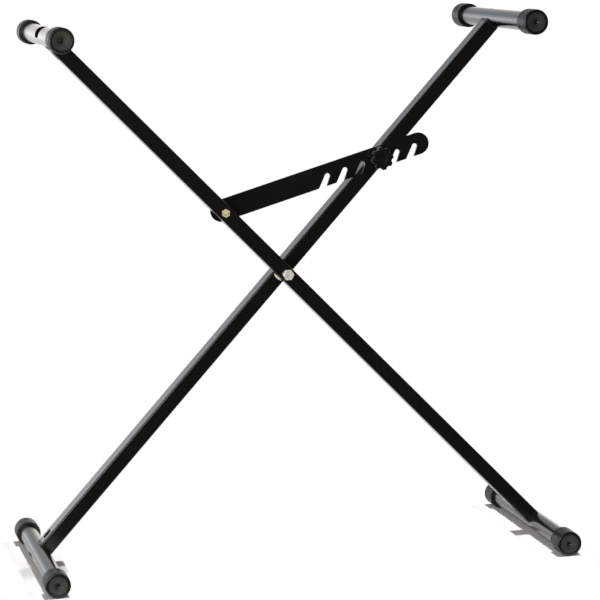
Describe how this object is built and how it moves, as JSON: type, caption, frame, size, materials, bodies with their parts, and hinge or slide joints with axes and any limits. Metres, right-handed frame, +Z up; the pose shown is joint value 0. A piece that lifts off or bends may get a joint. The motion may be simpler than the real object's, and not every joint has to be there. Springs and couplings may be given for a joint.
{
  "type": "folding keyboard stand",
  "caption": "Folding X-shaped keyboard stand: two crossing steel arms, round rest and foot bars with rubber end caps, and a slotted locking plate held by a star knob.",
  "frame": {"origin": "on the floor, under the main pivot and midway along the cross bars", "axes": "+X from the left rest bar to the right one, +Y back through the stand along the cross bars, +Z up"},
  "size_m": [0.7276, 0.35, 0.7362],
  "materials": {
    "black_powder_coat": "black powder coat, semi-gloss",
    "cap_rubber": "black moulded rubber, knurled sides",
    "block_plastic": "black moulded plastic",
    "zinc_plated_steel": "zinc plated steel",
    "white_nylon": "natural nylon",
    "knob_plastic": "black moulded plastic, satin",
    "insert_brass": "turned brass"
  },
  "bodies": {
    "front_frame": {"front_arm": "black_powder_coat", "left_rest_bar": "black_powder_coat", "left_rest_cap_front": "cap_rubber", "left_rest_cap_rear": "cap_rubber", "left_rest_saddle": "block_plastic", "left_rest_bolt": "zinc_plated_steel", "left_rest_washer": "zinc_plated_steel", "left_rest_nut": "zinc_plated_steel", "right_foot_bar": "black_powder_coat", "right_foot_cap_front": "cap_rubber", "right_foot_cap_rear": "cap_rubber", "right_foot_saddle": "block_plastic", "right_foot_bolt": "zinc_plated_steel", "right_foot_washer": "zinc_plated_steel", "right_foot_nut": "zinc_plated_steel", "front_arm_sleeve": "zinc_plated_steel", "pivot_bolt": "zinc_plated_steel", "pivot_front_washer": "zinc_plated_steel", "gap_washer_front": "zinc_plated_steel", "pivot_spacer": "white_nylon", "pivot_rear_washer": "zinc_plated_steel", "pivot_lock_nut": "zinc_plated_steel", "plate_bolt": "zinc_plated_steel", "plate_pivot_sleeve": "zinc_plated_steel", "plate_washer": "zinc_plated_steel", "plate_nut": "zinc_plated_steel"},
    "rear_frame": {"rear_arm": "black_powder_coat", "right_rest_bar": "black_powder_coat", "right_rest_cap_front": "cap_rubber", "right_rest_cap_rear": "cap_rubber", "right_rest_saddle": "block_plastic", "right_rest_bolt": "zinc_plated_steel", "right_rest_washer": "zinc_plated_steel", "right_rest_nut": "zinc_plated_steel", "left_foot_bar": "black_powder_coat", "left_foot_cap_front": "cap_rubber", "left_foot_cap_rear": "cap_rubber", "left_foot_saddle": "block_plastic", "left_foot_bolt": "zinc_plated_steel", "left_foot_washer": "zinc_plated_steel", "left_foot_nut": "zinc_plated_steel", "rear_arm_sleeve": "zinc_plated_steel", "gap_washer_rear": "zinc_plated_steel", "knob_stud": "zinc_plated_steel", "stud_sleeve": "zinc_plated_steel", "stud_washer": "zinc_plated_steel"},
    "plate": {"locking_plate": "black_powder_coat"},
    "clamp": {"clamp_washer": "zinc_plated_steel"},
    "knob": {"star_knob": "knob_plastic", "knob_insert": "insert_brass"}
  },
  "joints": [
    {"name": "arm_fold", "type": "hinge", "parent": "front_frame", "child": "rear_frame", "pos_m": [0, 0, 0.38634], "axis": [0, -1, 0], "range_deg": [0, 78]},
    {"name": "plate_swing", "type": "hinge", "parent": "front_frame", "child": "plate", "pos_m": [-0.08283, 0, 0.47454], "axis": [0, -1, 0], "range_deg": [0, 110]},
    {"name": "knob_travel", "type": "slide", "parent": "rear_frame", "child": "clamp", "axis": [0, -1, 0], "range_m": [0, 0.004]},
    {"name": "knob_turn", "type": "hinge", "parent": "clamp", "child": "knob", "pos_m": [0.14033, 0, 0.53578], "axis": [0, -1, 0], "range_deg": [0, 1440]}
  ],
  "couplings": [
    {"joint": "plate_swing", "follows": "arm_fold", "ratio": 1.41},
    {"joint": "knob_travel", "follows": "knob_turn", "m_per_rad": 0.00015915}
  ]
}
